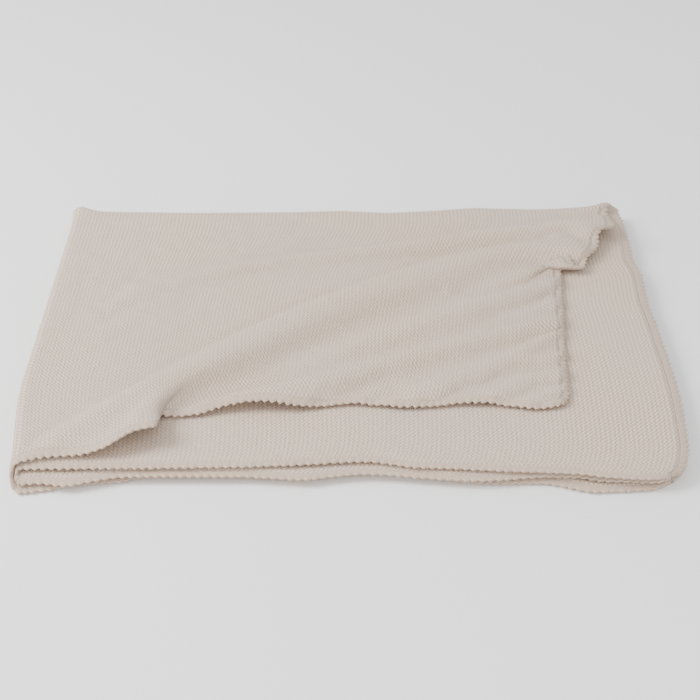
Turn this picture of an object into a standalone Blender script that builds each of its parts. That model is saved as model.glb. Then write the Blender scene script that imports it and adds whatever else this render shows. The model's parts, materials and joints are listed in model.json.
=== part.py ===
"""Folded throw blanket: a rib-knit rectangle with a picot border, folded in four.

The cloth is folded once along its back and once over to the right at its left side, so four
layers lie on each other. The loose corner of the top layer is drawn back and to the left, and
the spare cloth stands up as a soft ridge. Metres, +Z up, origin under the middle of the pile.
"""
import math

import bmesh
import bpy
from mathutils import Vector

# Driving dimensions of the folded pile
FOLDED_WIDTH = 0.503        # left fold to the open right side
FOLDED_DEPTH = 0.431        # open front to the back folds
KNIT_THICKNESS = 0.0035     # one thickness of the knitted panel
LAYER_GAP = 0.0008          # air between two layers of one half
HALF_GAP = 0.0011           # air between the lower and the upper half
BORDER_WIDTH = 0.008        # width of the picot border along the open edges
SEAM_GAP = 0.0005           # clearance where two pieces of the cloth meet edge to edge
HINGE_CLEARANCE = 0.0002    # from the outside of the left fold to the line it opens about
CORNER_RADIUS = 0.030       # rounding of the open front right corners
FOLD_TAPER = 0.009          # how far the left fold draws in at its front end
TAPER_LENGTH = 0.110        # length of fold over which it draws in
BORDER_BACKING = 0.010      # how far the left fold's front end lies behind the folded outline

# How far the open edges of the three flat layers lie inside the folded outline: along the
# front from the left fold to the right corner, then up the right side to the back folds.
FRONT_SETBACKS = {
    "bottom": (0.006, 0.017, 0.018, 0.020, 0.013, 0.006, 0.001),
    "second": (0.008, 0.014, 0.012, 0.015, 0.010, 0.009, 0.006),
    "third": (0.018, 0.020, 0.023, 0.024, 0.016, 0.010, 0.003),
}
SIDE_SETBACKS = {
    "bottom": (0.004, 0.001, 0.001, 0.000, 0.001),
    "second": (0.003, 0.002, 0.003, 0.002, 0.003),
    "third": (0.002, 0.001, 0.004, 0.006, 0.003),
}

# The loose corner of the top layer
CORNER_DRAWN_LEFT = 0.086   # from the folded outline's right side to the drawn corner
CORNER_DRAWN_BACK = 0.086   # from the folded outline's front to the drawn corner
DRAWN_CORNER_RADIUS = 0.018  # rounding of the drawn corner
TOP_FRONT_SETBACK = 0.021   # front edge of the top layer beside the left fold
RIDGE_FROM_LEFT = 0.110     # where the ridge meets the front edge
RIDGE_HEIGHT_FRONT = 0.0155
RIDGE_HEIGHT_BACK = 0.009
RIDGE_STEEP_FRONT = 0.018   # width of the ridge's steep side at the front and at the back
RIDGE_STEEP_BACK = 0.038
RIDGE_GENTLE = 0.062        # width of its long, gentle side
RIPPLE_FROM_LEFT = 0.186    # where the low second wave meets the front edge
RIPPLE_HEIGHT = 0.0055
RIPPLE_WIDTH = 0.034

# Fineness of the faceted shapes
BEND_SEGMENTS = 6           # facets in a quarter bend
CURVE_STEPS = 4             # facets between two points of an edge
RIDGE_SAMPLES = 40

LEFT, RIGHT = -FOLDED_WIDTH / 2, FOLDED_WIDTH / 2
FRONT, BACK = -FOLDED_DEPTH / 2, FOLDED_DEPTH / 2

# Underside height of each layer, from the table up
BOTTOM_Z = 0.0
SECOND_Z = BOTTOM_Z + KNIT_THICKNESS + LAYER_GAP
SPLIT_Z = SECOND_Z + KNIT_THICKNESS + HALF_GAP / 2
THIRD_Z = SPLIT_Z + HALF_GAP / 2
TOP_Z = THIRD_Z + KNIT_THICKNESS + LAYER_GAP

# Outside radii of the bends: the left folds share one centre line at the split height
OUTER_BEND = SPLIT_Z
INNER_BEND = SPLIT_Z - SECOND_Z
BACK_BEND = (SECOND_Z + KNIT_THICKNESS) / 2
BEND_LEFT = LEFT + OUTER_BEND
BEND_BACK = BACK - BACK_BEND
SHEET_LEFT = BEND_LEFT + SEAM_GAP
SHEET_BACK = BEND_BACK - SEAM_GAP
BEND_FRONT = FRONT + BORDER_BACKING


def clear_scene():
    for old in list(bpy.data.objects):
        bpy.data.objects.remove(old, do_unlink=True)


def principled(name, colour, roughness):
    material = bpy.data.materials.new(name)
    material.use_nodes = True
    shader = material.node_tree.nodes["Principled BSDF"]
    shader.inputs["Base Color"].default_value = (*colour, 1.0)
    shader.inputs["Roughness"].default_value = roughness
    shader.inputs["Metallic"].default_value = 0.0
    return material


def smoothstep(value):
    value = min(1.0, max(0.0, value))
    return value * value * (3.0 - 2.0 * value)


def mix(first, second, share):
    return first + (second - first) * share


def smooth_curve(points, steps=CURVE_STEPS):
    """A Catmull-Rom curve through the points, with the given facets between each pair."""
    ends = [points[0] * 2 - points[1], *points, points[-1] * 2 - points[-2]]
    curve = []
    for before, start, end, after in zip(ends, ends[1:], ends[2:], ends[3:]):
        for step in range(steps):
            t = step / steps
            curve.append(0.5 * (2 * start + (end - before) * t
                                + (2 * before - 5 * start + 4 * end - after) * t ** 2
                                + (3 * (start - end) + after - before) * t ** 3))
    return curve + [points[-1]]


def inset_curve(curve, distance):
    """A layer's open edge moved into the cloth; it still starts at the left fold."""
    moved = []
    for index, point in enumerate(curve):
        ahead = (curve[min(index + 1, len(curve) - 1)] - curve[min(index, len(curve) - 2)]).normalized()
        behind = (curve[max(index, 1)] - curve[max(index - 1, 0)]).normalized()
        along = (ahead + behind).normalized()
        moved.append(point + Vector((-along.y, along.x)) * distance / along.dot(ahead))
    moved[0].x = SHEET_LEFT + fold_taper(moved[0].y)
    return moved


def fold_taper(y):
    """How far the left fold has drawn in, to the right, at a place along it."""
    return FOLD_TAPER * smoothstep((FRONT + TAPER_LENGTH - y) / TAPER_LENGTH)


def rounded_corner(start, radius):
    """Points round a quarter turn that leaves the start to the right and ends going back."""
    centre = start + Vector((0, radius))
    turns = [math.radians(degrees) for degrees in (30, 60, 90)]
    return [centre + radius * Vector((math.sin(turn), -math.cos(turn))) for turn in turns]


def flat_front_edge(layer):
    """A flat layer's front edge, from the left fold to the end of its rounded corner."""
    setbacks = FRONT_SETBACKS[layer]
    corner_x = RIGHT - SIDE_SETBACKS[layer][0] - CORNER_RADIUS
    start, end = SHEET_LEFT + fold_taper(FRONT), corner_x - CORNER_RADIUS / 2
    points = [Vector((mix(start, end, index / (len(setbacks) - 1)), FRONT + setback))
              for index, setback in enumerate(setbacks)]
    points.append(Vector((corner_x, points[-1].y)))
    return smooth_curve(points + rounded_corner(points[-1], CORNER_RADIUS))


def flat_side_edge(layer):
    """A flat layer's right edge, from the rounded corner to the back fold."""
    setbacks = SIDE_SETBACKS[layer]
    start = FRONT + FRONT_SETBACKS[layer][-1] + CORNER_RADIUS
    points = [Vector((RIGHT - setback, mix(start, SHEET_BACK, index / (len(setbacks) - 1))))
              for index, setback in enumerate(setbacks)]
    return smooth_curve(points)


def top_front_edge():
    """The top layer's front edge: level, up and over the ridge, then along the drawn flap."""
    ridge_x = LEFT + RIDGE_FROM_LEFT
    flap_y = FRONT + CORNER_DRAWN_BACK
    level_y = FRONT + TOP_FRONT_SETBACK
    foot_x = ridge_x + 0.020
    corner_x = RIGHT - CORNER_DRAWN_LEFT - DRAWN_CORNER_RADIUS
    last_x = corner_x - DRAWN_CORNER_RADIUS / 2
    points = [(SHEET_LEFT + fold_taper(FRONT), level_y), (mix(LEFT, ridge_x, 0.40), level_y + 0.006),
              (mix(LEFT, ridge_x, 0.72), level_y + 0.012), (ridge_x - 0.010, level_y + 0.019),
              (ridge_x + 0.001, level_y + 0.032), (ridge_x + 0.008, flap_y - 0.017), (foot_x, flap_y - 0.008)]
    points += [(mix(foot_x, last_x, share), flap_y + rise)
               for share, rise in ((0.14, -0.004), (0.30, 0.002), (0.48, 0.006), (0.65, 0.003),
                                   (0.82, 0.004), (1.00, 0.000))]
    points = [Vector(point) for point in (*points, (corner_x, flap_y))]
    return smooth_curve(points + rounded_corner(points[-1], DRAWN_CORNER_RADIUS), 3)


def top_side_edge():
    """The top layer's right edge, from the drawn corner, round the ridge's end, to the back."""
    corner_x = RIGHT - CORNER_DRAWN_LEFT
    corner_y = FRONT + CORNER_DRAWN_BACK + DRAWN_CORNER_RADIUS
    knee_y = BACK - 0.137
    points = [(corner_x, corner_y), (corner_x + 0.006, mix(corner_y, knee_y, 0.33)),
              (corner_x + 0.013, mix(corner_y, knee_y, 0.75)), (corner_x + 0.023, knee_y),
              (mix(corner_x, RIGHT, 0.48), BACK - 0.107), (mix(corner_x, RIGHT, 0.70), BACK - 0.083),
              (RIGHT - 0.013, BACK - 0.050), (RIGHT - 0.009, BACK - 0.026), (RIGHT - 0.009, SHEET_BACK)]
    return smooth_curve([Vector(point) for point in points], 3)


def ridge_line():
    """The crest of the ridge in plan: back from the front edge, then across to the right."""
    start = Vector((LEFT + RIDGE_FROM_LEFT, FRONT + 0.045))
    first = start + Vector((0.013, 0.110))
    last = Vector((RIGHT - 0.013, BACK - 0.062))
    second = last - Vector((0.178, 0.078))
    points = []
    for index in range(RIDGE_SAMPLES + 1):
        t = index / RIDGE_SAMPLES
        points.append(start * (1 - t) ** 3 + first * 3 * t * (1 - t) ** 2
                      + second * 3 * t * t * (1 - t) + last * t ** 3)
    return points


def ripple_line():
    """The crest of the low second wave, straight across the flap."""
    start = Vector((LEFT + RIPPLE_FROM_LEFT, FRONT + CORNER_DRAWN_BACK))
    end = Vector((RIGHT - CORNER_DRAWN_LEFT + 0.010, FRONT + CORNER_DRAWN_BACK + 0.215))
    return [start.lerp(end, index / RIDGE_SAMPLES) for index in range(RIDGE_SAMPLES + 1)]


def place_by_line(line, point):
    """How far along the line the point lies, 0 to 1, and how far to the left of it."""
    nearest = min(range(len(line)), key=lambda index: (line[index] - point).length_squared)
    low, high = max(nearest - 1, 0), min(nearest + 1, len(line) - 1)
    along = (line[high] - line[low]).normalized()
    away = point - line[nearest]
    return nearest / (len(line) - 1), along.x * away.y - along.y * away.x, away.length


def wave(distance, width):
    """A smooth hump: 1 on its crest and 0 at the given distance and beyond."""
    return 0.5 + 0.5 * math.cos(math.pi * min(1.0, abs(distance) / width))


def cloth_rise(point, lines):
    """How far the top layer stands above where it would lie flat."""
    ridge, ripple = lines
    along, left, away = place_by_line(ridge, point)
    steep = mix(RIDGE_STEEP_FRONT, RIDGE_STEEP_BACK, along)
    height = mix(RIDGE_HEIGHT_FRONT, RIDGE_HEIGHT_BACK, smoothstep(along))
    rise = height * wave(away, RIDGE_GENTLE if left > 0 else steep)
    along, left, away = place_by_line(ripple, point)
    return rise + RIPPLE_HEIGHT * (1 - 0.6 * along) * wave(away, RIPPLE_WIDTH)


def rise_and_slope(point, lines):
    step = 0.001
    rise = cloth_rise(point, lines)
    across = cloth_rise(point + Vector((step, 0)), lines) - rise
    back = cloth_rise(point + Vector((0, step)), lines) - rise
    return rise, math.hypot(across, back) / step


def four_sided_grid(front, back, left, right):
    """Places that fill the space between four edges, as rows from front to back.

    Columns meet the front edge, and rows the right edge, at those edges' own points.
    """
    grid = []
    for row, right_end in enumerate(right):
        v = row / (len(right) - 1)
        line = []
        for column, front_end in enumerate(front):
            u = column / (len(front) - 1)
            sides = left[0].lerp(left[1], v) * (1 - u) + right_end * u
            ends = front_end * (1 - v) + back[0].lerp(back[1], u) * v
            corners = (front[0] * (1 - u) * (1 - v) + front[-1] * u * (1 - v)
                       + back[0] * (1 - u) * v + back[-1] * u * v)
            line.append(sides + ends - corners)
        grid.append(line)
    return grid


def finish_object(name, form, material, parent):
    bmesh.ops.recalc_face_normals(form, faces=form.faces[:])
    mesh = bpy.data.meshes.new(name)
    form.to_mesh(mesh)
    form.free()
    mesh.materials.append(material)
    piece = bpy.data.objects.new(name, mesh)
    bpy.context.scene.collection.objects.link(piece)
    piece.parent = parent
    piece.location = -parent.location
    return piece


def flat_layer(name, open_edge, underside, material, parent):
    """A flat thickness of knit inside its border, from the left bend to the back bend."""
    outline = inset_curve(open_edge, BORDER_WIDTH + SEAM_GAP)
    outline[-1].y = SHEET_BACK
    outline.append(Vector((SHEET_LEFT, SHEET_BACK)))
    outline.append(Vector((SHEET_LEFT, FRONT + TAPER_LENGTH)))
    form = bmesh.new()
    face = form.faces.new([form.verts.new((point.x, point.y, underside)) for point in outline])
    raised = bmesh.ops.extrude_face_region(form, geom=[face])
    lift = [part for part in raised["geom"] if isinstance(part, bmesh.types.BMVert)]
    bmesh.ops.translate(form, verts=lift, vec=(0, 0, KNIT_THICKNESS))
    return finish_object(name, form, material, parent)


def sheet(name, grid, underside, material, parent, lines=None):
    """A closed sheet over a grid of places, one knit thick measured across its slope."""
    columns, rows = len(grid[0]) - 1, len(grid) - 1
    form = bmesh.new()
    made = bmesh.ops.create_grid(form, x_segments=columns, y_segments=rows, size=1.0)
    ordered = sorted(made["verts"], key=lambda vert: (round(vert.co.y, 4), round(vert.co.x, 4)))
    tops = {}
    for vert, point in zip(ordered, (point for line in grid for point in line)):
        rise, slope = rise_and_slope(point, lines) if lines else (0.0, 0.0)
        vert.co = (point.x, point.y, underside + KNIT_THICKNESS + rise)
        tops[vert] = KNIT_THICKNESS * math.hypot(1.0, slope)
    lowered = bmesh.ops.extrude_face_region(form, geom=form.faces[:])
    copies = [part for part in lowered["geom"] if isinstance(part, bmesh.types.BMVert)]
    depth_at = {(round(vert.co.x, 6), round(vert.co.y, 6)): depth for vert, depth in tops.items()}
    for vert in copies:
        vert.co.z -= depth_at[(round(vert.co.x, 6), round(vert.co.y, 6))]
    return finish_object(name, form, material, parent)


def border_pair(layer, front, side, underside, material, parent, lines=None):
    """The picot border of one layer, as two plain strips that meet past the rounded corner."""
    edge = front + side[1:]
    inner = inset_curve(edge, BORDER_WIDTH)
    split = len(front)
    rows = (edge, inner)
    sheet(f"{layer}_front_border", [row[:split] for row in rows], underside, material, parent, lines)
    seam = [row[split - 1] + (row[split] - row[split - 1]).normalized() * SEAM_GAP for row in rows]
    sheet(f"{layer}_side_border", [[start, *row[split:]] for start, row in zip(seam, rows)],
          underside, material, parent, lines)


def bend_profile(outside, start, end):
    """A ring sector in the plane of the bend, as (reach, height) from the bend's centre."""
    turns = [math.radians(mix(start, end, index / BEND_SEGMENTS)) for index in range(BEND_SEGMENTS + 1)]
    inside = outside - KNIT_THICKNESS
    outer = [(outside * math.cos(turn), outside * math.sin(turn)) for turn in turns]
    inner = [(inside * math.cos(turn), inside * math.sin(turn)) for turn in reversed(turns)]
    return outer + inner


def left_bend(name, outside, upper, ends, material, parent):
    """A quarter of a left fold: it leaves one flat layer and stops short of the split height."""
    front, back = ends
    side = 1 if upper else -1
    sector = [(reach, side * max(abs(height), SEAM_GAP / 2))
              for reach, height in bend_profile(outside, 0, side * 90)]
    stations = sorted({front, back, *(FRONT + TAPER_LENGTH * step / 5 for step in range(1, 6))})
    stations = [y for y in stations if front <= y <= back]
    form = bmesh.new()
    loop = [form.verts.new((BEND_LEFT + fold_taper(stations[0]) - reach, stations[0], SPLIT_Z + height))
            for reach, height in sector]
    face = form.faces.new(loop)
    for here, ahead in zip(stations, stations[1:]):
        grown = bmesh.ops.extrude_face_region(form, geom=[face])
        if here > front:
            form.faces.remove(face)
        verts = [part for part in grown["geom"] if isinstance(part, bmesh.types.BMVert)]
        face = next(part for part in grown["geom"] if isinstance(part, bmesh.types.BMFace))
        step = Vector((fold_taper(ahead) - fold_taper(here), ahead - here, 0))
        bmesh.ops.translate(form, verts=verts, vec=step)
    return finish_object(name, form, material, parent)


def back_bend(name, underside, ends, material, parent):
    """A back fold: the half turn that joins two flat layers of one half."""
    centre = underside + BACK_BEND
    sector = bend_profile(BACK_BEND, -90, 0)[:BEND_SEGMENTS] + bend_profile(BACK_BEND, 0, 90)
    sector += bend_profile(BACK_BEND, -90, 0)[BEND_SEGMENTS + 2:]
    form = bmesh.new()
    loop = [form.verts.new((ends[0], BEND_BACK + reach, centre + height)) for reach, height in sector]
    face = form.faces.new(loop)
    grown = bmesh.ops.extrude_face_region(form, geom=[face])
    verts = [part for part in grown["geom"] if isinstance(part, bmesh.types.BMVert)]
    bmesh.ops.translate(form, verts=verts, vec=(ends[1] - ends[0], 0, 0))
    return finish_object(name, form, material, parent)


def pivot(name, place):
    empty = bpy.data.objects.new(name, None)
    bpy.context.scene.collection.objects.link(empty)
    empty.location = place
    return empty


def build():
    clear_scene()
    knit = principled("natural_rib_knit", (0.62, 0.55, 0.50), 0.95)
    picot = principled("natural_picot_border", (0.64, 0.57, 0.52), 0.92)
    table_half = pivot("lower_half_on_table", (0, 0, 0))
    left_hinge = pivot("left_fold_hinge", (LEFT - HINGE_CLEARANCE, 0, SPLIT_Z))

    for layer, underside, parent in (("bottom", BOTTOM_Z, table_half), ("second", SECOND_Z, table_half),
                                     ("third", THIRD_Z, left_hinge)):
        front, side = flat_front_edge(layer), flat_side_edge(layer)
        flat_layer(f"{layer}_layer", front + side[1:], underside, knit, parent)
        border_pair(layer, front, side, underside, picot, parent)

    lines = (ridge_line(), ripple_line())
    front, side = top_front_edge(), top_side_edge()
    inner = inset_curve(front + side[1:], BORDER_WIDTH + SEAM_GAP)
    inner[-1].y = SHEET_BACK
    inner_front, inner_side = inner[:len(front)], inner[len(front) - 1:]
    back = (Vector((SHEET_LEFT, SHEET_BACK)), inner_side[-1])
    grid = four_sided_grid(inner_front, back, (inner_front[0], back[0]), inner_side)
    for line in grid:
        line[0].x = SHEET_LEFT + fold_taper(line[0].y)
    sheet("top_layer", grid, TOP_Z, knit, left_hinge, lines)
    border_pair("top", front, side, TOP_Z, picot, left_hinge, lines)

    border_ends = (BEND_FRONT, BEND_FRONT + BORDER_WIDTH)
    panel_ends = (border_ends[1] + SEAM_GAP, BEND_BACK)
    for name, outside in (("outer", OUTER_BEND), ("inner", INNER_BEND)):
        for level, upper, parent in (("lower", False, table_half), ("upper", True, left_hinge)):
            left_bend(f"{name}_left_fold_{level}", outside, upper, panel_ends, knit, parent)
            left_bend(f"{name}_left_border_{level}", outside, upper, border_ends, picot, parent)

    for level, underside, parent, side_setback in (("lower", BOTTOM_Z, table_half, 0.001),
                                                   ("upper", THIRD_Z, left_hinge, 0.009)):
        border_start = RIGHT - side_setback - BORDER_WIDTH
        back_bend(f"{level}_back_fold", underside, (SHEET_LEFT, border_start - SEAM_GAP), knit, parent)
        back_bend(f"{level}_back_border", underside, (border_start, border_start + BORDER_WIDTH),
                  picot, parent)


build()
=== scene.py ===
"""Folded throw blanket in natural rib knit with a picot border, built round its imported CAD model."""
import json
import math

import bmesh
import bpy
import numpy as np
from mathutils import Euler, Matrix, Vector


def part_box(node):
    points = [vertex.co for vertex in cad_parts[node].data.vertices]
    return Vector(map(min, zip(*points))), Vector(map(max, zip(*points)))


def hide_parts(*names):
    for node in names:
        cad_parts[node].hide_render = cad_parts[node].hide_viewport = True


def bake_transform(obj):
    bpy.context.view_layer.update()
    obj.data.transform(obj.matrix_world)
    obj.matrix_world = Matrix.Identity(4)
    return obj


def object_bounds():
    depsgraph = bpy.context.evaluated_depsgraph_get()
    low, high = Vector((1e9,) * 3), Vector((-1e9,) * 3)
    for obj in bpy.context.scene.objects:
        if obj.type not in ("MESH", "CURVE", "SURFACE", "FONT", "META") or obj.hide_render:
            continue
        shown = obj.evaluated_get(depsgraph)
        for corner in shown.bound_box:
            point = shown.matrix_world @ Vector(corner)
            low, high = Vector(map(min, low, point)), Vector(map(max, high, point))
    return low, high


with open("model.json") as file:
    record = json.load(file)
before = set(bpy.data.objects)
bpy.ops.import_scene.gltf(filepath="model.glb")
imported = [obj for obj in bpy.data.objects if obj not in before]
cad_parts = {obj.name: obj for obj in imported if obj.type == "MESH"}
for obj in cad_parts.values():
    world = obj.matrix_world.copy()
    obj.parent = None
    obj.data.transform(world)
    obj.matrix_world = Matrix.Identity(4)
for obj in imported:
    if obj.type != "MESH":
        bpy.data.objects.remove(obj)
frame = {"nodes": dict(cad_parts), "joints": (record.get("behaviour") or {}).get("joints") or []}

cad_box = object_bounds()

# ---------------------------------------------------------------------------------------------
# The knitted panel: one rectangle of off-white cotton rib knit, folded once along its back and
# then once over to the right. Its four layers are one cloth, so it is one grid of places, with
# columns up the ribs. The top layer's loose corner is drawn back, and its spare cloth stands up.
# ---------------------------------------------------------------------------------------------
CLOTH = (1.0, 0.81)                   # flat size, across the ribs and along them, border included
KNIT = 0.0035                         # thickness of the knit
BAND = 0.008                          # width of the border all round
COARSE, FINE = 0.008, 0.004           # cells of the hidden layers, and of the ones that show

left, front, _ = cad_box[0]
right, back, _ = cad_box[1]
split_z = frame["joints"][0]["pos_m"][2]
LAYERS = ("bottom", "second", "third", "top")
level = {layer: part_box(f"{layer}_layer")[0].z + KNIT / 2 for layer in LAYERS}
back_bend = (level["second"] - level["bottom"]) / 2
bend_x = left + split_z                     # where the layers run into the left fold
bend_y = back - back_bend - KNIT / 2        # and into the back folds
left_turn = np.radians([-90, -75, -60, -46, -33, -22, -13, -6, 0, 6, 13, 22, 33, 46, 60, 75, 90])
back_turn = np.radians(np.linspace(-90, 90, 11))
left_arc, back_arc = math.pi * (split_z - level["bottom"]), math.pi * back_bend
half_across, half_up = (CLOTH[0] - left_arc) / 2, (CLOTH[1] - back_arc) / 2


def smoothstep(value):
    value = np.clip(value, 0.0, 1.0)
    return value * value * (3.0 - 2.0 * value)


def refine(values, old, new):
    """Reads rows of values given at old distances at new ones, on smooth curves."""
    slopes = np.gradient(values, old, axis=0)
    cell = np.clip(np.searchsorted(old, new, side="right") - 1, 0, len(old) - 2)
    shape = (-1,) + (1,) * (values.ndim - 1)
    width = (old[cell + 1] - old[cell]).reshape(shape)
    t = (new - old[cell]).reshape(shape) / width
    return ((1 + 2 * t) * (1 - t) ** 2 * values[cell] + t * (1 - t) ** 2 * width * slopes[cell]
            + t * t * (3 - 2 * t) * values[cell + 1] + t * t * (t - 1) * width * slopes[cell + 1])


def through(points, shares):
    """Places on a smooth curve through set points, at shares of its length."""
    points = np.array(points, float)
    ends = np.vstack([2 * points[0] - points[1], points, 2 * points[-1] - points[-2]])
    t = np.arange(0, 1, 0.05)[:, None]
    pieces = [0.5 * (2 * b + (c - a) * t + (2 * a - 5 * b + 4 * c - d) * t ** 2
                     + (3 * (b - c) + d - a) * t ** 3)
              for a, b, c, d in zip(ends, ends[1:], ends[2:], ends[3:])]
    line = np.vstack(pieces + [points[-1:]])
    length = np.concatenate([[0], np.cumsum(np.linalg.norm(np.diff(line, axis=0), axis=1))])
    at = np.asarray(shares) * length[-1]
    return np.stack([np.interp(at, length, line[:, axis]) for axis in range(points.shape[1])], -1)


def cells(length, step):
    """Distances from an open edge to a fold, with the border as the first cell."""
    return np.concatenate([[0.0], np.linspace(BAND, length, round((length - BAND) / step) + 1)])


# Distances in from the open edges, for each layer.
side_in = {"bottom": cells(half_across, COARSE), "third": cells(half_across, FINE)}
front_in = {"bottom": cells(half_up, FINE), "second": cells(half_up, COARSE)}
side_in["second"], side_in["top"] = side_in["bottom"], side_in["third"]
front_in["top"], front_in["third"] = front_in["bottom"], front_in["second"]
lower_end, outer_end = len(side_in["bottom"]) - 1, len(front_in["bottom"]) - 1
upper_start, inner_start = lower_end + len(left_turn) - 1, outer_end + len(back_turn) - 1
round_left = half_across + left_arc * (left_turn / math.pi + 0.5)
round_back = half_up + back_arc * (back_turn / math.pi + 0.5)
flat_across = np.concatenate([side_in["bottom"][:-1], round_left, CLOTH[0] - side_in["top"][-2::-1]])
flat_up = np.concatenate([front_in["bottom"][:-1], round_back, CLOTH[1] - front_in["second"][-2::-1]])
cloth = np.zeros((len(flat_up), len(flat_across), 3))

# The open edges in plan as measured, in millimetres from the middle of the folded blanket: each
# front edge from the left fold to its rounded corner, and each side from there to the back fold.
FRONT_EDGES = {
    "bottom": ((-234, -211), (-228, -211), (-212, -208), (-196, -203), (-163, -199), (-146, -194),
               (-78, -195), (-36, -198), (15, -192), (57, -198), (90, -204), (133, -205), (149, -209),
               (165, -215), (182, -215), (207, -213), (216, -210), (226, -203)),
    "second": ((-234, -207), (-217, -206), (-199, -209), (-178, -203), (-154, -199), (-78, -200),
               (-36, -204), (-11, -200), (15, -198), (57, -204), (90, -207), (130, -203), (158, -204),
               (174, -208), (202, -210), (214, -210), (226, -204)),
    "third": ((-234, -195), (-183, -195), (-122, -195), (-68, -194), (-32, -192), (10, -189), (42, -196),
              (68, -198), (100, -201), (154, -205), (173, -209), (197, -212), (213, -212), (223, -208)),
}
SIDE_EDGES = {
    "bottom": ((226, -203), (233, -196), (240, -182), (244, -160), (247, -120), (249, -60), (247, 30),
               (250, 110), (249, 211)),
    "second": ((226, -204), (234, -197), (241, -180), (246, -150), (249, -100), (250, -40), (246, 50),
               (249, 130), (248, 211)),
    "third": ((223, -208), (231, -203), (237, -195), (243, -174), (247, -140), (250, -102), (251, -68),
              (251, -32), (251, 5), (250, 35), (251, 55), (253, 87), (250, 109), (251, 131), (253, 166),
              (252, 206)),
}
LEFT_DRAW, LEFT_DRAW_LENGTH = 0.0115, 0.140     # how the left fold draws in at its front end
# How far the upper back fold lies short of a straight one, in millimetres, from left to right.
BACK_DRAW = ((-250, 2), (-238, 9), (-227, 10), (-138, 14), (-50, 14), (-6, 12), (37, 17), (82, 13),
             (115, 8), (170, 12), (225, 13), (237, 9), (250, 5))
BACK_DRAW_SHARE = {"bottom": 0.3, "second": 0.3, "third": 1.0, "top": 1.0}
THIRD_UNEVEN = 0.0003                           # the third layer doesn't lie quite flat


def fold_draw(y):
    return LEFT_DRAW * smoothstep((front + LEFT_DRAW_LENGTH - y) / LEFT_DRAW_LENGTH)


def back_line_y(x, layer):
    """Where a layer runs into its back fold, which isn't quite straight."""
    places, short = np.array(BACK_DRAW).T / 1000
    return bend_y - BACK_DRAW_SHARE[layer] * np.interp(x, places, short)


def lay(layer, front_line, side_line, u, v):
    """A layer's places between its two open edges and its two folds, front row first."""
    y_back = back_line_y(bend_x, layer)
    y = front_line[0, 1] + (y_back - front_line[0, 1]) * v
    left_line = np.column_stack([bend_x + fold_draw(y), y, np.full(len(v), level[layer])])
    front_line[0] = left_line[0]
    side_line[-1, 1:] = back_line_y(side_line[-1, 0], layer), level[layer]
    x = left_line[-1, 0] + (side_line[-1, 0] - left_line[-1, 0]) * u
    back_line = np.column_stack([x, back_line_y(x, layer), np.full(len(u), level[layer])])
    u, v = u[None, :, None], v[:, None, None]
    return (left_line[:, None] * (1 - u) + side_line[:, None] * u
            + front_line[None] * (1 - v) + back_line[None] * v
            - (front_line[0] * (1 - u) * (1 - v) + front_line[-1] * u * (1 - v)
               + back_line[0] * (1 - u) * v + back_line[-1] * u * v))


def put(layer, places):
    """Sets a layer into the whole cloth, turned the way it lies there."""
    rows = slice(0, outer_end + 1) if layer in ("bottom", "top") else slice(inner_start, None)
    columns = slice(0, lower_end + 1) if layer in ("bottom", "second") else slice(upper_start, None)
    places = places if layer in ("bottom", "top") else places[::-1]
    cloth[rows, columns] = places[:, ::-1] if layer in ("bottom", "second") else places


def shares(layer):
    return 1 - side_in[layer][::-1] / half_across, front_in[layer] / half_up


for layer in ("bottom", "second", "third"):
    u, v = shares(layer)
    front_line, side_line = through(FRONT_EDGES[layer], u) / 1000, through(SIDE_EDGES[layer], v) / 1000
    flat_height = np.array([0, 0, level[layer]])
    places = lay(layer, np.pad(front_line, ((0, 0), (0, 1))) + flat_height,
                 np.pad(side_line, ((0, 0), (0, 1))) + flat_height, u, v)
    if layer == "third":
        x, y = places[..., 0], places[..., 1]
        unevenness = np.sin(31 * x + 1) * np.sin(27 * y) + 1
        places[..., 2] += THIRD_UNEVEN * unevenness * smoothstep(v)[:, None]
    put(layer, places)

# The top layer's open edges, in millimetres from the folded blanket's left and front, and up from
# where they would lie flat: the plain run of each edge, and the edge as measured with its waves.
TOP_FRONT_RUN = ((18, 23, 0), (60, 30, 0), (95, 44, 0), (125, 67, 0), (160, 84, 0), (200, 89, 0),
                 (251, 92, 0), (320, 91, 0), (385, 87, 0), (402, 87, 0), (412, 92, 0))
TOP_SIDE_RUN = ((412, 92, 0), (417, 104, 0), (419, 130, 0), (423, 172, 0), (429, 220, 0), (436, 275, 0),
                (448, 313, 0), (470, 347, 0), (487, 375, 0), (494, 396, 0), (495, 419, 0))
TOP_FRONT = ((18, 23, 0), (32, 27, 0.1), (46, 28.5, 0.6), (60.5, 28.5, 2), (69, 29, 4), (77, 30, 7),
             (83, 32.5, 9.6), (90, 37, 12), (97, 41, 13.8), (104.5, 42.5, 14.8), (110.5, 44, 14.9),
             (113.5, 48, 14), (113, 55, 11.5), (111, 62, 8.3), (109, 70.5, 3.8), (109, 77, 1),
             (114, 79.5, 0.2), (126.5, 79.5, 0), (141, 81, 0.5), (153, 85.5, 2.5), (167, 88, 5),
             (182, 89, 6.2), (199, 88.5, 5), (214, 88, 2), (229, 90.5, 0.4), (251, 94, 0.8),
             (271, 91.5, 0.4), (295, 88.5, 0), (340, 92.5, 1), (363, 90.5, 0.5), (385, 86, 0),
             (401, 87, 0), (412, 92, 0))
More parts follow.
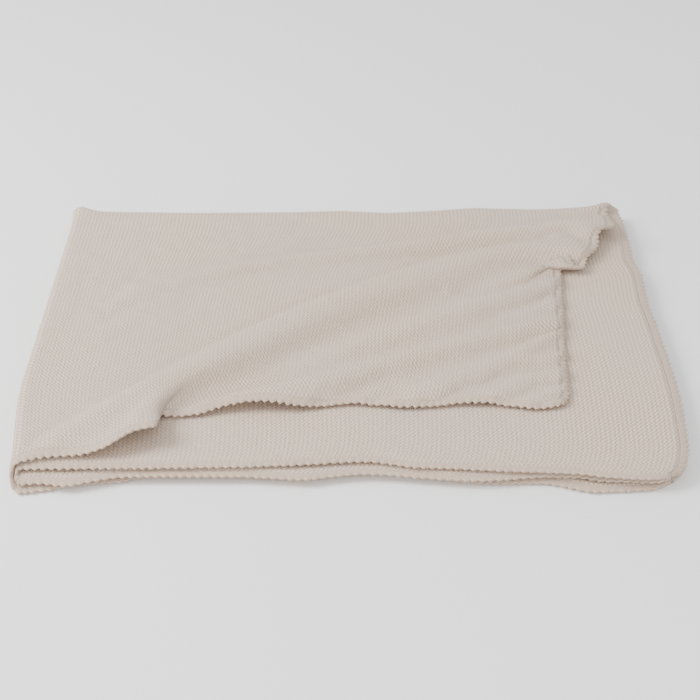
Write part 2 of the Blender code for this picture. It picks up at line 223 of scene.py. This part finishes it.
TOP_SIDE = ((412, 92, 0), (417, 104, 0), (418.5, 125, 0), (422, 168.5, 0.2), (427, 215.5, 0.4),
            (431, 260, 0.5), (433.5, 285, 0.8), (435.5, 305, 2), (438, 318, 5), (441.5, 322, 7.5),
            (444.5, 314, 7.5), (446, 303, 5.5), (449, 297, 4), (453.5, 297, 3.5), (456.5, 304, 4),
            (459, 313, 4.2), (463, 321, 4), (468.5, 329, 4.5), (472, 337, 5.5), (473, 345, 8),
            (475, 352, 10), (480, 359, 11.5), (487, 361, 11), (490.5, 368, 9), (491.5, 380, 5.5),
            (491, 396, 2), (490.5, 419, 0.5))
# The crest of the ridge and of the low wave before it, in the same plan.
RIDGE = ((110.5, 45), (113, 75), (121.5, 101), (141.5, 130), (169.5, 156), (197.5, 182), (233.5, 216),
         (291.5, 262), (352.5, 300), (421.5, 338), (487.5, 367))
LOW_WAVE = ((185, 87), (262, 157), (340, 226), (424, 300))
FRONT_WAVE_REACH, SIDE_WAVE_REACH = 0.035, 0.030     # how far in the waves of the edges are felt


def in_plan(points):
    return np.array(points)[:, :2] / 1000 + (left, front)


def above(points):
    points = np.array(points) / 1000
    return points + (left, front, level["top"])


def hump(distance, width):
    return 0.5 + 0.5 * np.cos(math.pi * np.clip(np.abs(distance) / width, 0, 1))


def beside(line, places):
    """For each place: how far along a line it lies, 0 to 1, and how far to the line's left."""
    apart = places[..., None, :] - line
    nearest = (apart ** 2).sum(-1).argmin(-1)
    along = np.gradient(line, axis=0)[nearest]
    away = places - line[nearest]
    side = np.sign(along[..., 0] * away[..., 1] - along[..., 1] * away[..., 0])
    return nearest / (len(line) - 1), side * np.linalg.norm(away, axis=-1)


def spare_cloth(places):
    """How high the spare cloth would stand over a place in plan."""
    along, off = beside(through(in_plan(RIDGE), np.linspace(0, 1, 160)), places)
    crest = 0.0155 - 0.0055 * smoothstep(along)
    gentle, steep = 0.055 + 0.020 * along, 0.014 + 0.026 * smoothstep(1.3 * along)
    rise = crest * hump(off, np.where(off > 0, gentle, steep))
    along, off = beside(through(in_plan(LOW_WAVE), np.linspace(0, 1, 160)), places)
    return rise + 0.0055 * (1 - 0.55 * along) * hump(off, 0.034)


def drawn_top(u, v):
    """The top layer as it is meant to lie, before the cloth has its say."""
    front_run, side_run = through(above(TOP_FRONT_RUN), u), through(above(TOP_SIDE_RUN), v)
    places = lay("top", front_run, side_run, u, v)
    front_in_here, side_in_here = v[:, None] * half_up, (1 - u)[None, :] * half_across
    places[..., 2] += spare_cloth(places[..., :2])
    front_wave = through(above(TOP_FRONT), u) - places[0]
    side_wave = through(above(TOP_SIDE), v) - places[:, -1]
    side_wave[-1] = front_wave[0] = 0
    places += front_wave[None] * np.exp(-(front_in_here / FRONT_WAVE_REACH) ** 2)[..., None]
    places += side_wave[:, None] * np.exp(-(side_in_here / SIDE_WAVE_REACH) ** 2)[..., None]
    return places


def grid_piece(name, places, flat=None):
    """A grid mesh with its points at these places, and with the flat cloth as its UV map."""
    rows, columns = places.shape[:2]
    form = bmesh.new()
    bmesh.ops.create_grid(form, x_segments=columns - 1, y_segments=rows - 1, size=1.0)
    order = sorted(form.verts, key=lambda point: (round(point.co.y, 5), round(point.co.x, 5)))
    for index, (point, place) in enumerate(zip(order, places.reshape(-1, 3))):
        point.co, point.index = place, index
    form.verts.sort()
    if flat is not None:
        layout = form.loops.layers.uv.new("flat_cloth")
        for face in form.faces:
            for corner in face.loops:
                corner[layout].uv = flat.reshape(-1, 2)[corner.vert.index]
    mesh = bpy.data.meshes.new(name)
    form.to_mesh(mesh)
    form.free()
    piece = bpy.data.objects.new(name, mesh)
    bpy.context.scene.collection.objects.link(piece)
    return piece


SLACK = 0.30                     # share of the spare cloth that the knit doesn't take up by itself
DRAWING, SETTLING = 36, 24       # frames


def draw_corner(lying, meant):
    """Cloth simulation: the open edges are pulled to their places and the knit follows and settles."""
    under = grid_piece("layer_under", np.array([[(-1, -1, 0), (1, -1, 0)], [(-1, 1, 0), (1, 1, 0)]])
                       * (0.3, 0.27, 0) + (0, 0, level["third"] + KNIT / 2))
    under.modifiers.new("hold", "COLLISION")
    under.collision.thickness_outer = 0.0015
    under.collision.cloth_friction = 5
    knit = grid_piece("top_layer_in_the_hand", lying)
    knit.shape_key_add(name="lying")
    pull = knit.shape_key_add(name="drawn")
    pull.data.foreach_set("co", meant.astype(np.float32).ravel())
    pull.value = 0
    pull.keyframe_insert("value", frame=1)
    pull.value = 1
    pull.keyframe_insert("value", frame=DRAWING)
    held = knit.vertex_groups.new(name="held")
    rows, columns = lying.shape[:2]
    inside = [row * columns + column for row in range(1, rows - 1) for column in range(1, columns - 1)]
    held.add(list(range(rows * columns)), 1.0, "REPLACE")
    held.add(inside, 0.2, "REPLACE")
    along, off = beside(through(in_plan(RIDGE), np.linspace(0, 1, 160)), meant[..., :2])
    crest = (0.6 - 0.35 * along) * hump(off, 0.045)
    for index in inside:
        if crest.flat[index] > 0.2:
            held.add([index], float(crest.flat[index]), "REPLACE")
    cloth_step = knit.modifiers.new("knit", "CLOTH")
    yarn = cloth_step.settings
    yarn.quality = 8
    yarn.mass = 0.05
    yarn.tension_stiffness, yarn.compression_stiffness = 25, 5
    yarn.shear_stiffness, yarn.bending_stiffness = 5, 20
    yarn.tension_damping = yarn.compression_damping = yarn.shear_damping = 10
    yarn.bending_damping, yarn.air_damping = 1, 3
    yarn.vertex_group_mass = held.name
    contact = cloth_step.collision_settings
    contact.use_collision, contact.distance_min, contact.collision_quality = True, 0.001, 2
    cloth_step.point_cache.frame_end = DRAWING + SETTLING
    for step in range(1, DRAWING + SETTLING + 1):
        bpy.context.scene.frame_set(step)
    settled = knit.evaluated_get(bpy.context.evaluated_depsgraph_get()).data
    places = np.zeros(lying.size, np.float32)
    settled.vertices.foreach_get("co", places)
    bpy.context.scene.frame_set(1)
    for piece in (knit, under):
        bpy.data.objects.remove(piece, do_unlink=True)
    return places.reshape(lying.shape).astype(float)


hand_across, hand_up = half_across - cells(half_across, COARSE)[::-1], cells(half_up, COARSE)
u, v = hand_across / half_across, hand_up / half_up
meant = drawn_top(u, v)
lying = meant.copy()
lying[..., 2] = level["top"]
# The spare cloth: the loose corner of the flat layer is this far from where it is drawn to.
loose = np.array([0.0417, -0.086, 0])
lying += SLACK * loose * (u[None, :] * (1 - v)[:, None])[..., None]
top = draw_corner(lying, meant)
top = refine(top, hand_up, front_in["top"])
top = refine(top.swapaxes(0, 1), hand_across, half_across - side_in["top"][::-1]).swapaxes(0, 1)
RESTING_GAP = 0.0007                       # least air under the top layer
top[..., 2] = np.maximum(top[..., 2], level["third"] + KNIT + RESTING_GAP)
EAR_HEIGHT, EAR_WIDTH = 0.004, 0.014       # the two back corners turn up a little
for corner_x in (bend_x, right - 0.014):
    x, y = top[..., 0] - corner_x, top[..., 1] - bend_y
    top[..., 2] += EAR_HEIGHT * np.exp(-(x * x + y * y) / EAR_WIDTH ** 2)
put("top", top)

# The folds: each back fold is a half turn between two layers, and the left folds then turn
# the lower pair over into the upper one, so that the corner where they cross closes by itself.
for columns in (slice(0, lower_end + 1), slice(upper_start, None)):
    first, last = cloth[outer_end, columns], cloth[inner_start, columns]
    for index, turn in enumerate(back_turn):
        row = first + (last - first) * (math.sin(turn) + 1) / 2
        row[:, 1] += np.abs(last - first)[:, 2] / 2 * math.cos(turn)
        cloth[outer_end + index, columns] = row
INNER_FULLNESS = 0.30                      # the inner left fold fills the outer one
bend_fullness = 1 + INNER_FULLNESS * smoothstep((flat_up - half_up) / back_arc)
for index, turn in enumerate(left_turn):
    first, last = cloth[:, lower_end], cloth[:, upper_start]
    if 0 < index < len(left_turn) - 1:
        column = first + (last - first) * (math.sin(turn) + 1) / 2
        column[:, 0] -= (last - first)[:, 2] / 2 * bend_fullness * math.cos(turn)
        cloth[:, lower_end + index] = column

flat = np.stack(np.meshgrid(flat_across, flat_up), -1)
panel = grid_piece("knitted_panel", cloth[1:-1, 1:-1], flat[1:-1, 1:-1])
panel.data.shade_smooth()
knit_solid = panel.modifiers.new("knit_thickness", "SOLIDIFY")
knit_solid.thickness, knit_solid.offset = KNIT, 0
panel.modifiers.new("flat_to_the_edge", "WEIGHTED_NORMAL")


class Yarn:
    """A number in a material, so that its pattern can be written as maths."""

    def __init__(self, finish, socket):
        self.finish, self.socket = finish, socket

    def maths(self, operation, *numbers):
        return self.finish.node("ShaderNodeMath", {"operation": operation}, dict(enumerate(numbers)))

    def __add__(self, other):
        return self.maths("ADD", self, other)

    def __sub__(self, other):
        return self.maths("SUBTRACT", self, other)

    def __rsub__(self, other):
        return self.maths("SUBTRACT", other, self)

    def __mul__(self, other):
        return self.maths("MULTIPLY", self, other)

    def __truediv__(self, other):
        return self.maths("DIVIDE", self, other)

    __radd__, __rmul__ = __add__, __mul__

    def cosine(self):
        return self.maths("COSINE", self)

    def fraction(self):
        return self.maths("FRACT", self)

    def size(self):
        return self.maths("ABSOLUTE", self)


class Finish:
    """A material, and the one way in which nodes are added to it."""

    def __init__(self, name):
        self.material = bpy.data.materials.new(name)
        self.material.use_nodes = True
        self.tree = self.material.node_tree
        self.surface = self.tree.nodes["Principled BSDF"]

    def node(self, kind, settings, sockets, output=0):
        made = self.tree.nodes.new(kind)
        for name, value in settings.items():
            setattr(made, name, value)
        self.set(made, sockets)
        return Yarn(self, made.outputs[output])

    def set(self, made, sockets):
        for name, value in sockets.items():
            if isinstance(value, Yarn):
                self.tree.links.new(value.socket, made.inputs[name])
            else:
                made.inputs[name].default_value = value

    def mix(self, share, first, second):
        return self.node("ShaderNodeMix", {"data_type": "RGBA"}, {0: share, 6: first, 7: second}, 2)

    def along_map(self):
        """Distances across and up the flat cloth, in metres."""
        spot = self.node("ShaderNodeUVMap", {"uv_map": "flat_cloth"}, {})
        return (self.node("ShaderNodeSeparateXYZ", {}, {0: spot}, 0),
                self.node("ShaderNodeSeparateXYZ", {}, {0: spot}, 1), spot)


RIB_PITCH = 0.0034              # from one raised rib to the next
COURSE = 0.0042                 # length of one stitch along a rib
KNIT_RIDGE = (0.860, 0.695, 0.560, 1)
# Painted shade: the dark brown that the hollows between ribs and stitches are coloured with.
KNIT_VALLEY_PAINTED_SHADE = (0.260, 0.165, 0.102, 1)
KNIT_COOL = (0.610, 0.505, 0.430, 1)

rib_knit = Finish("rib_knit")
across, up, spot = rib_knit.along_map()
drift = rib_knit.node("ShaderNodeTexNoise", {}, {"Vector": spot, "Scale": 45.0, "Detail": 2.0})
unevenness = rib_knit.node("ShaderNodeTexNoise", {}, {"Vector": spot, "Scale": 900.0, "Detail": 3.0})
broad = rib_knit.node("ShaderNodeTexNoise", {}, {"Vector": spot, "Scale": 9.0, "Detail": 2.0})
ribs = (across + (drift - 0.5) * 0.0016) / RIB_PITCH
rib = 0.5 - (ribs * math.tau).cosine() * 0.5            # 1 on a raised rib
column = ribs * 2                      # a raised and a sunken column of stitches in each rib
lean = ((column.fraction() - 0.5).size() * 0.7 + (column - column.fraction()) * 0.5
        + (up + drift * 0.002) / COURSE)
stitch = 0.5 - (lean * math.tau).cosine() * 0.5         # leaning loops, each column half a loop on
height = rib * 0.27 + stitch * 0.44 + unevenness * 1.1 - 0.25
# Painted shade: the knit's colour runs from the light tone on the raised ribs and loops to the dark valley
# colour in the hollows between them, following the bump height.
knit_tone_with_painted_shade = rib_knit.mix(height, KNIT_VALLEY_PAINTED_SHADE, KNIT_RIDGE)
cool = rib_knit.node("ShaderNodeMapRange", {}, {0: broad, 1: 0.35, 2: 0.65, 3: 0.0, 4: 0.35})
rib_knit.set(rib_knit.surface, {
    "Base Color": rib_knit.mix(cool, knit_tone_with_painted_shade, KNIT_COOL),
    "Roughness": 0.95, "Sheen Weight": 0.1, "Sheen Roughness": 0.6,
    "Normal": rib_knit.node("ShaderNodeBump", {}, {"Height": height, "Distance": 0.0010, "Strength": 0.9})})
panel.data.materials.append(rib_knit.material)
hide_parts(*[name for name in frame["nodes"] if "border" not in name])
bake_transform(panel)

# ---------------------------------------------------------------------------------------------
# The picot border: a narrow edging in the same yarn, knitted smooth, linked on all round the
# panel and finished in small pointed teeth. It follows the panel's open edges through the folds.
# ---------------------------------------------------------------------------------------------
TEETH = 584                      # all round, about 6.2 mm each
TOOTH_STEPS = 6                  # points along one tooth
TOOTH = 0.0028                   # how far the teeth stand out
SHORTEST, TALLEST = 0.62, 1.05   # how much that varies from tooth to tooth
LINKED = 0.0035                  # thickness of the border where it is linked to the panel
# Across the border: share of its width, and share of that thickness.
SECTION = np.array(((-0.24, 0.50), (-0.13, 0.93), (-0.05, 0.98), (0.03, 1.00), (0.14, 0.96), (0.28, 0.91),
                    (0.45, 0.82), (0.66, 0.68), (0.84, 0.48), (0.95, 0.30), (1.0, 0.16)))

width, depth = CLOTH
round_length = 2 * (width + depth)
station = np.arange(TEETH * TOOTH_STEPS) / (TEETH * TOOTH_STEPS) * round_length
corners = np.array([0, width, width + depth, 2 * width + depth, round_length])
outer, inner = np.zeros((len(station), 3)), np.zeros((len(station), 3))
for side, (edge, line, distances, backwards) in enumerate((
        (cloth[0], cloth[1], flat_across, False), (cloth[:, -1], cloth[:, -2], flat_up, False),
        (cloth[-1], cloth[-2], flat_across, True), (cloth[:, 0], cloth[:, 1], flat_up, True))):
    here = (station >= corners[side]) & (station < corners[side + 1])
    at = station[here] - corners[side]
    at = distances[-1] - at if backwards else at
    outer[here] = refine(edge, distances, at)
    inner[here] = refine(line, distances, np.clip(at, BAND, distances[-1] - BAND))

apart = outer - inner
reach = np.linalg.norm(apart, axis=1)
outwards = apart / reach[:, None]
point = np.abs(2 * (station / round_length * TEETH % 1) - 1)
tooth = (station / round_length * TEETH).astype(int)
tooth_height = np.random.RandomState(4).uniform(SHORTEST, TALLEST, TEETH)[tooth]
reach = reach - TOOTH * (1 - tooth_height * (0.6 * point + 0.4 * smoothstep(point)))
strip = inner + outwards * (SECTION[:, :1] * reach)[..., None]
strip_map = np.stack(np.broadcast_arrays(station, SECTION[:, :1] * BAND), -1)
closing = [[round_length, 0]]
border = grid_piece("picot_border_round", np.concatenate([strip, strip[:, :1]], 1),
                    np.concatenate([strip_map, strip_map[:, :1] + closing], 1))
fullness = border.vertex_groups.new(name="fullness")
row_length = len(station) + 1
for row, share in enumerate(SECTION[:, 1]):
    fullness.add(list(range(row * row_length, (row + 1) * row_length)), share, "REPLACE")
form = bmesh.new()
form.from_mesh(border.data)
bmesh.ops.remove_doubles(form, verts=form.verts, dist=1e-6)
form.to_mesh(border.data)
form.free()
border.data.shade_smooth()
border_solid = border.modifiers.new("border_thickness", "SOLIDIFY")
border_solid.thickness, border_solid.offset = LINKED, 0
border_solid.vertex_group = fullness.name

edging = Finish("picot_border")
along, over, spot = edging.along_map()
fuzz = edging.node("ShaderNodeTexNoise", {}, {"Vector": spot, "Scale": 900.0, "Detail": 3.0})
rows = 0.5 - (over * (math.tau / 0.0020)).cosine() * 0.5
lean = (over / 0.0020).fraction() - 0.5
loops = 0.5 - ((lean.size() * 0.9 + along / 0.00155) * math.tau).cosine() * 0.5
# Painted shade: the border's colour goes from a light tone on its rows of loops to dark brown in the hollows
# between them, following the bump height.
height = rows * 0.34 + loops * rows * 0.34 + fuzz * 0.9 - 0.22
edging.set(edging.surface, {
    "Base Color": edging.mix(height, (0.350, 0.250, 0.175, 1), (0.730, 0.590, 0.480, 1)),
    "Roughness": 0.95, "Sheen Weight": 0.1, "Sheen Roughness": 0.6,
    "Normal": edging.node("ShaderNodeBump", {}, {"Height": height, "Distance": 0.0004, "Strength": 0.7})})
border.data.materials.append(edging.material)
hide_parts(*[name for name in frame["nodes"] if "border" in name])
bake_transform(border)

# ---------------------------------------------------------------------------------------------
# A plain pale floor, soft studio light and the camera.
# ---------------------------------------------------------------------------------------------
floor = grid_piece("floor", np.array([[(-2, -2, 0), (2, -2, 0)], [(-2, 2, 0), (2, 2, 0)]]) + (0, 0, -0.0002))
paper = Finish("floor_paper")
paper.set(paper.surface, {"Base Color": (0.93, 0.93, 0.93, 1), "Roughness": 0.9})
floor.data.materials.append(paper.material)

studio = bpy.data.worlds.new("studio")
studio.use_nodes = True
studio.node_tree.nodes["Background"].inputs["Color"].default_value = (1, 1, 1, 1)
studio.node_tree.nodes["Background"].inputs["Strength"].default_value = 1.20
bpy.context.scene.world = studio

for name, place, size, energy in (("softbox", (-1.45, -0.1, 1.15), 0.9, 46),
                                  ("front_fill", (0.2, -1.7, 0.55), 1.2, 14)):
    light = bpy.data.lights.new(name, "AREA")
    light.size, light.energy = size, energy
    lamp = bpy.data.objects.new(name, light)
    lamp.location = place
    lamp.rotation_euler = (-lamp.location).to_track_quat("-Z", "Y").to_euler()
    bpy.context.scene.collection.objects.link(lamp)

PITCH, YAW, ROLL = math.radians(31.34), math.radians(0.33), math.radians(-0.29)
lens = bpy.data.cameras.new("camera")
lens.sensor_width, lens.lens = 36, 80.35
camera = bpy.data.objects.new("camera", lens)
camera.location = (-0.0053, -1.0909, 0.6535)
aim = Euler((math.pi / 2 - PITCH, 0, -YAW)).to_matrix() @ Matrix.Rotation(ROLL, 3, "Z")
camera.rotation_euler = aim.to_euler()
bpy.context.scene.collection.objects.link(camera)
bpy.context.scene.camera = camera
